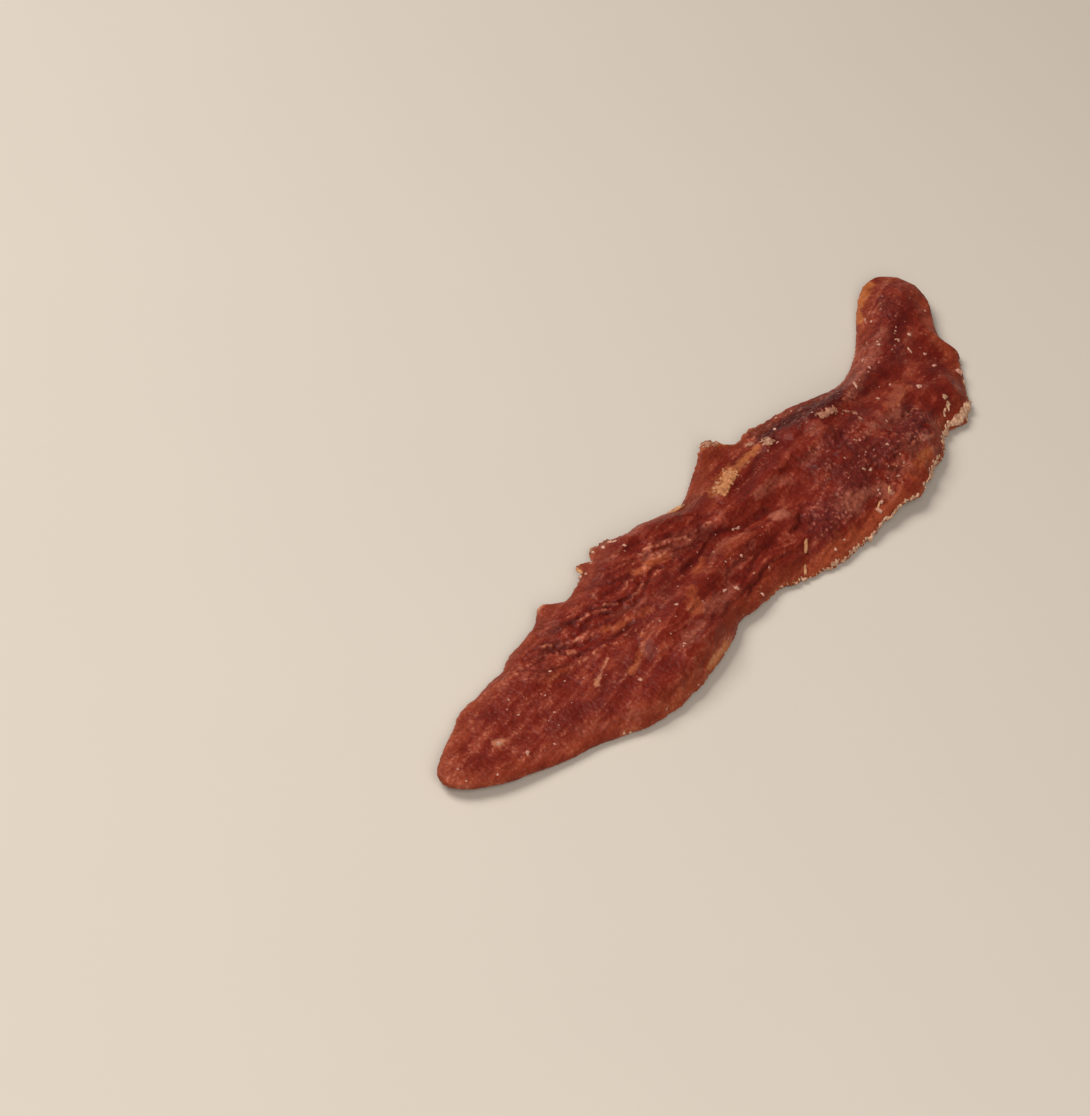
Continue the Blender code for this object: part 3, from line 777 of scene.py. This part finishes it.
def scatterSpots(dice, count, reach, line, crowding=0.5):
    # (along, across) pairs strewn within reach of a line: evenly at 0.5, and closer to the line above that
    spots = []
    for _ in range(count):
        leg = dice.randrange(len(line) - 1)
        share = dice.random()
        middle = [line[leg][axis] * (1.0 - share) + line[leg + 1][axis] * share for axis in (0, 1)]
        angle = dice.uniform(0.0, math.tau)
        gap = reach * dice.random() ** crowding
        spots.append((middle[0] + gap * math.cos(angle), middle[1] + gap * math.sin(angle)))
    return spots


# Dents of a lump: how close together the broad and the small ones stand, and how far the noise moves on
# from one pattern to the next
lumpDents = {
    "radius": 0.5,
    "broadCloseness": 1.5,
    "smallCloseness": 3.6,
    "smallDepth": 0.5,
    "broadStep": 3.1,
    "smallStep": 2.7,
}


def makeLumpShapes(count, roughness, fineness):
    # irregular lumps of diameter 1 mm, the patterns that crust, crumbs and slivers are copied from
    lumps = []
    for number in range(count):
        bpy.ops.object.select_all(action="DESELECT")
        bpy.ops.mesh.primitive_ico_sphere_add(
            subdivisions=fineness, radius=lumpDents["radius"] * mm, location=(0.0, 0.0, 0.0)
        )
        lump = bpy.context.active_object
        broadShift = Vector((lumpDents["broadStep"] * number, 0.0, 0.0))
        smallShift = Vector((0.0, lumpDents["smallStep"] * number, 0.0))
        for vertex in lump.data.vertices:
            way = vertex.co.normalized()
            dent = 1.0 + roughness * noise.noise(way * lumpDents["broadCloseness"] + broadShift)
            smallDent = noise.noise(way * lumpDents["smallCloseness"] + smallShift)
            dent += lumpDents["smallDepth"] * roughness * smallDent
            vertex.co = way * lumpDents["radius"] * mm * dent
        lumps.append(lump)
    return lumps


def placeLump(lump, place, turn, scale):
    copy = bpy.data.objects.new("lump", lump.data.copy())
    bpy.context.scene.collection.objects.link(copy)
    copy.rotation_mode = "QUATERNION"
    copy.rotation_quaternion = turn
    copy.scale = scale
    copy.location = place
    return copy


def lyingTurn(normal, spin):
    # the turn of a lump that lies flat on the meat
    return normal.to_track_quat("Z", "Y") @ Quaternion((0.0, 0.0, 1.0), spin)


def joinPieces(copies, name, patterns):
    for lump in patterns:
        bpy.data.objects.remove(lump)
    bpy.ops.object.select_all(action="DESELECT")
    for copy in copies:
        copy.select_set(True)
    bpy.context.view_layer.objects.active = copies[0]
    bpy.ops.object.join()
    piece = bpy.context.active_object
    piece.name = name
    bpy.ops.object.transform_apply(location=True, rotation=True, scale=True)
    bpy.ops.object.shade_smooth()
    return piece


# Crust of dried fat and salt: lumps dropped close together, then run into one granular skin.
crust = {
    "seed": 5,
    "patterns": (5, 0.7, 3),    # how many, how rough, how fine
    "voxel": 0.10,
    "smoothShare": 0.4,
    "smoothPasses": 1,
    "sizeSpread": 0.3,
    "crowding": 0.8,
    "patchLump": {"length": (0.9, 1.5), "flatness": 0.55, "height": (0.6, 1.5), "lift": 0.02},
    "patches": (  # how many lumps, reach, lump size, places
        (300, 1.15, 0.32, [(71.7, -1.1), (74.2, -0.7), (77.0, 0.0)]),
        (10, 0.20, 0.26, [(78.0, -1.2), (80.4, -1.2), (83.2, -1.3)]),
        (52, 0.80, 0.36, [(84.6, -0.9), (86.2, -1.4)]),
        (12, 0.45, 0.40, [(82.9, 0.8), (84.0, 0.1)]),
        (46, 0.70, 0.42, [(78.6, 6.2), (79.6, 5.6), (80.8, 4.2)]),
        (70, 0.85, 0.36, [(95.0, -4.4), (96.8, -5.2), (98.2, -5.3)]),
        (34, 0.28, 0.26, [(98.4, -6.6), (99.2, -7.8), (98.6, -9.6)]),
        (110, 0.62, 0.46, [(106.4, -20.4), (108.6, -20.8), (111.8, -20.3)]),
        (30, 0.40, 0.34, [(103.6, -20.6), (106.4, -19.8)]),
        (22, 0.28, 0.32, [(108.2, -18.8), (110.0, -17.6), (111.3, -16.2)]),
        (12, 0.24, 0.28, [(106.6, -18.6), (109.6, -17.8)]),
        (16, 0.40, 0.30, [(49.8, 7.4), (51.6, 7.2), (53.4, 6.2)]),
        (10, 0.24, 0.30, [(89.0, -14.6), (89.6, -15.8)]),
    ),
    "rimLump": {"length": (0.9, 1.6), "flatness": 1.0, "height": (0.4, 0.9), "lift": -0.02},
    "rims": (  # how many lumps, lump size, from, to along the near edge
        (420, 0.27, 60.0, 104.0),
        (26, 0.24, 104.0, 118.0),
        (50, 0.18, 22.0, 47.0),
    ),
    "rimPatchiness": (2.6, 61.0),    # size and seed
    "rimChance": (0.75, 1.6, 0.12, 1.6),   # middle, gain, least and most
    "rimTilt": (0.15, 0.55),    # upward share of the wall's normals, and how far it may be off
    "rimFacing": 0.2,           # normals of the near side's wall point less than this to the far side
    "rimDepth": 0.7,
    "grain": (0.28, 91.0),      # size and seed
    "grainHeight": 0.09,
    "darker": "#80523c",
    "lighter": "#cdaa8e",
    "cloudLength": 0.8,
    # stains of the crust; the rosy one is partly painted shade where the light is dimmer
    "stainsAndShade": (("golden", "#f3cca0"), ("rosy", "#cfb0aa")),
    "golden": [
        (1.0, 1.9, [(71.7, -1.1), (74.2, -0.7), (77.0, 0.0)]),
        (0.6, 1.2, [(78.0, -1.2), (83.2, -1.3)]),
    ],
    # darker and pinker: partly a pinker crust, partly painted shade where the light is dimmer
    "rosy": [
        (1.00, 4.0, [(95.0, -4.4), (98.2, -5.3), (98.6, -9.6)]),
        (0.60, 2.6, [(84.6, -0.9), (86.2, -1.4)]),
        (0.90, 2.6, [(77.0, 6.6), (80.8, 4.2), (84.0, 0.1)]),
        (1.00, 3.0, [(48.0, 7.6), (54.0, 6.2)]),
    ],
}


def rimSpots(meatPiece, dice, count, begins, ends):
    # places on the strip's near side wall, more of them on some stretches than on others
    mesh = meatPiece.data
    places = stripPlaces(mesh)
    normals = vertexNormals(mesh)
    columns = np.round(places[:, 0]).astype(int)
    edge = np.full(columns.max() + 2, np.inf)
    np.minimum.at(edge, columns, places[:, 1])
    tilt, play = crust["rimTilt"]
    wall = np.abs(normals[:, 2] - tilt) < play
    wall &= (places[:, 0] > begins) & (places[:, 0] < ends)
    wall &= (places[:, 1] < edge[columns] + crust["rimDepth"]) & (normals[:, 1] < crust["rimFacing"])
    wall = np.nonzero(wall)[0]
    middle, gain, least, most = crust["rimChance"]
    clouds = noiseAt(places[wall] * [1, 1, 0], *crust["rimPatchiness"])
    chance = np.clip(middle + gain * clouds, least, most)
    chosen = dice.choices(wall.tolist(), weights=chance.tolist(), k=count)
    return [(mesh.vertices[index].co.copy(), mesh.vertices[index].normal.copy()) for index in chosen]


def strewLumps(dice, lumps, hits, size, form):
    copies = []
    for hit, normal in hits:
        width = size * dice.lognormvariate(0.0, crust["sizeSpread"])
        length = width * dice.uniform(*form["length"])
        height = width * form["flatness"] * dice.uniform(*form["height"])
        lump = dice.choice(lumps)
        turn = lyingTurn(normal, dice.uniform(0.0, math.tau))
        copies.append(placeLump(lump, hit + normal * form["lift"] * mm, turn, (length, width, height)))
    return copies


def makeCrust(meatPiece):
    dice = random.Random(crust["seed"])
    lumps = makeLumpShapes(*crust["patterns"])
    copies = []
    for count, reach, size, line in crust["patches"]:
        hits = dropPlaces(meatPiece, scatterSpots(dice, count, reach, line, crust["crowding"]))
        copies += strewLumps(dice, lumps, hits, size, crust["patchLump"])
    for count, size, begins, ends in crust["rims"]:
        hits = rimSpots(meatPiece, dice, count, begins, ends)
        copies += strewLumps(dice, lumps, hits, size, crust["rimLump"])
    piece = joinPieces(copies, "paleCrust", lumps)
    applyModifier(piece, "REMESH", {"mode": "VOXEL", "voxel_size": crust["voxel"] * mm})
    applyModifier(piece, "SMOOTH", {"factor": crust["smoothShare"], "iterations": crust["smoothPasses"]})
    mesh = piece.data
    places = stripPlaces(mesh)
    grain = noiseAt(places, *crust["grain"]) * crust["grainHeight"]
    putPlaces(mesh, places + vertexNormals(mesh) * grain[:, None])
    seen = seenPlaces(places)
    # stains, and the rosy painted shade
    for tintName, _ in crust["stainsAndShade"]:
        storeShare(mesh, tintName, zoneShare(seen, crust[tintName]))
    bpy.ops.object.shade_smooth()
    return piece


# Single crumbs of dried fat and salt on the meat; the scattered ones also stand in for small glints, a
# painted highlight.
crumbs = {
    "seed": 11,
    "patterns": (6, 0.9, 3),    # how many, how rough, how fine
    "smallPatterns": (6, 0.9, 2),
    "smallSize": 0.26,
    "namedScale": 0.75,
    "width": (0.7, 1.0),
    "height": (0.4, 0.7),
    "lift": 0.06,
    "named": (  # along, across, size, long way
        (20.3, -5.0, 0.50, 1.2), (32.6, -10.9, 0.65, 1.2), (42.3, -12.2, 0.45, 1.6), (11.8, -6.0, 0.75, 1.3),
        (41.8, -12.3, 0.35, 1.2), (10.9, -2.2, 0.6, 1.6), (16.9, 0.2, 0.3, 1.2), (3.7, -0.4, 0.4, 1.2),
        (48.2, -7.6, 0.55, 1.3), (54.8, -11.4, 0.6, 1.8), (56.1, -12.4, 0.75, 1.4), (57.3, -15.9, 0.6, 1.3),
        (62.3, -9.8, 0.55, 1.2), (66.9, -6.7, 0.75, 1.6), (66.2, -6.3, 0.5, 1.4), (104.7, -5.2, 0.8, 1.6),
        (110.3, -3.5, 0.45, 1.5), (115.0, -3.7, 0.65, 1.3), (118.9, 0.6, 0.5, 1.3), (119.0, -0.3, 0.45, 1.2),
        (117.8, -5.5, 0.6, 1.2), (120.0, -6.2, 0.7, 1.2), (116.8, -7.9, 0.6, 2.1), (117.5, -10.0, 0.55, 1.3),
        (116.0, -12.4, 0.7, 1.2), (110.3, -12.7, 0.95, 1.2), (104.0, -9.3, 0.7, 1.4), (108.0, -9.2, 0.6, 1.5),
        (117.0, -15.9, 1.5, 1.1), (117.9, -16.2, 0.6, 1.3), (60.5, -6.4, 0.35, 1.5), (46.1, -8.6, 0.3, 1.3),
        (2.6, -2.4, 0.35, 1.2), (6.0, -5.0, 0.4, 1.2), (62.6, -14.0, 0.35, 1.6), (53.0, 3.4, 0.3, 1.3),
        (93.6, -0.6, 0.3, 1.3), (99.0, -1.6, 0.35, 1.3), (90.9, -19.4, 0.5, 1.5), (87.4, -19.9, 0.55, 1.4),
        (71.6, -19.6, 0.45, 1.3), (74.2, -19.6, 0.4, 1.4), (82.6, -20.8, 0.7, 1.9), (87.0, -20.4, 0.5, 2.0),
        (108.5, -5.4, 0.35, 1.4), (112.9, -2.4, 0.3, 1.4), (122.5, -2.6, 0.3, 1.3), (119.4, -4.2, 0.35, 1.3),
        (77.5, 8.2, 0.35, 1.3), (82.3, 2.6, 0.45, 1.6), (44.6, 5.5, 0.7, 1.5), (45.7, 5.3, 0.5, 1.3),
        (50.0, 6.7, 0.6, 1.3), (51.7, 6.1, 0.8, 1.3), (53.3, 5.9, 0.7, 1.6), (53.8, 5.5, 0.6, 1.5),
        (56.0, 5.4, 0.6, 1.5), (54.0, 4.0, 0.5, 1.4), (53.3, 6.3, 0.4, 1.5), (48.1, 5.8, 0.5, 1.2),
    ),
    # scattered crumbs: partly real crumbs, partly painted highlight standing in for small glints
    "scattered": (  # how many, reach, size, places
        (34, 6.0, 0.20, [(108, -5), (118, -5), (124, -1)]),
        (30, 6.0, 0.20, [(80, -15), (102, -15)]),
        (22, 6.5, 0.18, [(40, -8), (66, -9)]),
        (18, 6.0, 0.17, [(8, -2), (32, -4)]),
        (14, 3.5, 0.20, [(86, -1), (100, -5)]),
    ),
    "scatteredSpread": 0.35,
    "scatteredLongWay": 1.5,
    "darker": "#93594a",
    "lighter": "#cfa595",
    "cloudLength": 1.8,
    "stainsAndShade": (),
}


def makeCrumbs(meatPiece):
    dice = random.Random(crumbs["seed"])
    lumps = makeLumpShapes(*crumbs["patterns"])
    smallLumps = makeLumpShapes(*crumbs["smallPatterns"])
    spots = [(*spot, size * crumbs["namedScale"], longWay) for *spot, size, longWay in crumbs["named"]]
    for count, reach, size, line in crumbs["scattered"]:
        for spot in scatterSpots(dice, count, reach, line):
            spread = dice.lognormvariate(0.0, crumbs["scatteredSpread"])
            spots.append((*spot, size * spread, crumbs["scatteredLongWay"]))
    hits = dropPlaces(meatPiece, [spot[:2] for spot in spots])
    copies = []
    for (_, _, size, longWay), (hit, normal) in zip(spots, hits):
        width = size * dice.uniform(*crumbs["width"])
        height = size * dice.uniform(*crumbs["height"])
        lump = dice.choice(lumps if size > crumbs["smallSize"] else smallLumps)
        turn = lyingTurn(normal, dice.uniform(0.0, math.tau))
        place = hit + normal * (size * crumbs["lift"]) * mm
        copies.append(placeLump(lump, place, turn, (size * longWay, width, height)))
    return joinPieces(copies, "paleCrumbs", lumps + smallLumps)


# Torn threads of dry meat and fat that stand off the strip.
slivers = {
    "seed": 3,
    "patterns": (4, 0.35, 3),    # how many, how rough, how fine
    "flatness": 0.55,
    "threads": (  # from, to, thickness, how far the far end stands off the meat
        ((68.2, -16.7), (70.9, -15.2), 0.55, 0.30),
        ((64.3, -18.8), (66.2, -17.6), 0.45, 0.25),
        ((63.3, 2.8), (66.3, 1.5), 0.62, 0.15),
        ((82.4, -20.5), (84.4, -19.8), 0.30, 0.20),
        ((86.6, -20.2), (88.2, -19.3), 0.26, 0.20),
        ((51.6, 7.0), (52.6, 7.6), 0.30, 0.25),
        ((50.0, 7.2), (51.0, 7.9), 0.34, 0.30),
        ((45.4, 5.6), (46.5, 7.3), 0.80, 0.35),
    ),
    "darker": "#8a5030",
    "lighter": "#c99a6c",
    "cloudLength": 0.9,
    "stainsAndShade": (),
}


def makeSlivers(meatPiece):
    dice = random.Random(slivers["seed"])
    lumps = makeLumpShapes(*slivers["patterns"])
    copies = []
    for begins, ends, thickness, lift in slivers["threads"]:
        (start, _), (stop, away) = dropPlaces(meatPiece, [begins, ends])
        stop = stop + away * lift * mm
        run = stop - start
        scale = (run.length / mm, thickness, thickness * slivers["flatness"])
        copies.append(placeLump(dice.choice(lumps), (start + stop) / 2.0, run.to_track_quat("X", "Z"), scale))
    return joinPieces(copies, "driedSlivers", lumps)


# Surface of crust, crumbs and slivers, whose colours stand in their own dictionaries.
driedFat = {
    "cloudRange": (0.32, 0.68),
    "cloudDetail": 4.0,
    "cloudRoughness": 0.7,
    "finish": {
        "Roughness": 0.6,
        "IOR": 1.45,
        "Subsurface Weight": 0.25,
        "Subsurface Radius": (1.0, 0.6, 0.4),
        "Subsurface Scale": 0.25 * mm,
    },
}


def makeFatMaterial(name, values):
    # Dried fat and salt: chalky cream to pink, with a little light inside.
    material, tree, shader = startMaterial(name, driedFat["finish"])
    place = addNode(tree, "ShaderNodeTexCoord").outputs["Object"]
    cloud = addNode(
        tree, "ShaderNodeTexNoise", {},
        {
            "Vector": place,
            "Scale": 1.0 / (values["cloudLength"] * mm),
            "Detail": driedFat["cloudDetail"],
            "Roughness": driedFat["cloudRoughness"],
        },
    ).outputs["Fac"]
    lowest, highest = driedFat["cloudRange"]
    share = addNode(
        tree, "ShaderNodeMapRange", {}, {"Value": cloud, "From Min": lowest, "From Max": highest}
    ).outputs[0]
    colour = addNode(
        tree, "ShaderNodeMix", {"data_type": "RGBA"},
        {0: share, 6: linearColour(values["darker"]), 7: linearColour(values["lighter"])},
    ).outputs[2]
    # stains, and on the crust also painted shade
    for attribute, tone in values["stainsAndShade"]:
        tinted = addNode(tree, "ShaderNodeAttribute", {"attribute_name": attribute}).outputs["Fac"]
        colour = addNode(
            tree, "ShaderNodeMix", {"data_type": "RGBA", "blend_type": "MULTIPLY"},
            {0: tinted, 6: colour, 7: linearColour(tone)},
        ).outputs[2]
    tree.links.new(colour, shader.inputs["Base Color"])
    return material


# The plain floor under the strip.
floor = {
    "size": 6000.0,
    "colour": "#bdb9b3",
    "dimming": 0.96,
    "cloudLength": 60.0,
    "cloudDetail": 3.0,
    "finish": {"Roughness": 0.8},
}


def makeFloor():
    bpy.ops.object.select_all(action="DESELECT")
    bpy.ops.mesh.primitive_plane_add(size=floor["size"] * mm, location=(0.0, 0.0, 0.0))
    plane = bpy.context.active_object
    plane.name = "paleFloor"
    # Matt paint, pale and even.
    material, tree, shader = startMaterial("mattPaint", floor["finish"])
    place = addNode(tree, "ShaderNodeTexCoord").outputs["Object"]
    cloud = addNode(
        tree, "ShaderNodeTexNoise", {},
        {"Vector": place, "Scale": 1.0 / (floor["cloudLength"] * mm), "Detail": floor["cloudDetail"]},
    ).outputs["Fac"]
    pale = linearColour(floor["colour"])
    dimmer = [channel * floor["dimming"] for channel in pale[:3]] + [1.0]
    colour = addNode(tree, "ShaderNodeMix", {"data_type": "RGBA"}, {0: cloud, 6: dimmer, 7: pale}).outputs[2]
    tree.links.new(colour, shader.inputs["Base Color"])
    wear(plane, material)


# Two soft lamps and an even, dim room.
studio = {
    "lamps": (  # name, place, size, power, colour
        ("keyLight", (-60.0, 370.0, 460.0), 340.0, 3.6, "#fff4e8"),
        ("fillLight", (-330.0, -260.0, 380.0), 420.0, 2.4, "#fff2e4"),
    ),
    "roomColour": "#fff6ee",
    "roomStrength": 0.20,
}


def makeStudio():
    for name, place, size, power, colour in studio["lamps"]:
        lamp = bpy.data.lights.new(name, "AREA")
        lamp.size = size * mm
        lamp.energy = power
        lamp.color = linearColour(colour)[:3]
        holder = bpy.data.objects.new(name, lamp)
        bpy.context.scene.collection.objects.link(holder)
        holder.location = Vector(place) * mm
        holder.rotation_euler = (-holder.location).to_track_quat("-Z", "Y").to_euler()
    world = bpy.data.worlds.new("room")
    bpy.context.scene.world = world
    world.use_nodes = True
    sky = world.node_tree.nodes["Background"]
    sky.inputs["Color"].default_value = linearColour(studio["roomColour"])
    sky.inputs["Strength"].default_value = studio["roomStrength"]
    bpy.context.scene.view_settings.view_transform = "Standard"


def makeCamera():
    heading = math.radians(viewpoint["heading"])
    down = math.radians(viewpoint["lookDown"])
    level = math.cos(down)
    forward = Vector((math.cos(heading) * level, math.sin(heading) * level, -math.sin(down)))
    data = bpy.data.cameras.new("photoCamera")
    data.lens = viewpoint["lens"]
    data.sensor_width = viewpoint["filmWidth"]
    data.clip_start = viewpoint["nearLimit"] * mm
    data.clip_end = viewpoint["farLimit"] * mm
    camera = bpy.data.objects.new("photoCamera", data)
    bpy.context.scene.collection.objects.link(camera)
    camera.location = framePlace(viewpoint["along"], viewpoint["across"], viewpoint["height"])
    camera.rotation_mode = "QUATERNION"
    roll = Quaternion((0.0, 0.0, 1.0), math.radians(viewpoint["roll"]))
    camera.rotation_quaternion = forward.to_track_quat("-Z", "Y") @ roll
    bpy.context.scene.camera = camera


makeCamera()
makeStudio()
makeFloor()
print("camera, lights and floor are in place")

meatPiece = makeMeat()
wear(meatPiece, makeMeatMaterial())
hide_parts("jerky_strip")
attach(meatPiece, "root")
print("dried meat:", len(meatPiece.data.polygons), "faces")

finePieces = (
    (makeCrust, "driedFatCrust", crust),
    (makeCrumbs, "driedFatCrumbAndGlint", crumbs),
    (makeSlivers, "driedSinew", slivers),
)
for makePiece, finish, values in finePieces:
    finePiece = makePiece(meatPiece)
    keepInside(finePiece.data)
    wear(finePiece, makeFatMaterial(finish, values))
    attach(finePiece, "root")
    print(finePiece.name + ":", len(finePiece.data.polygons), "faces")
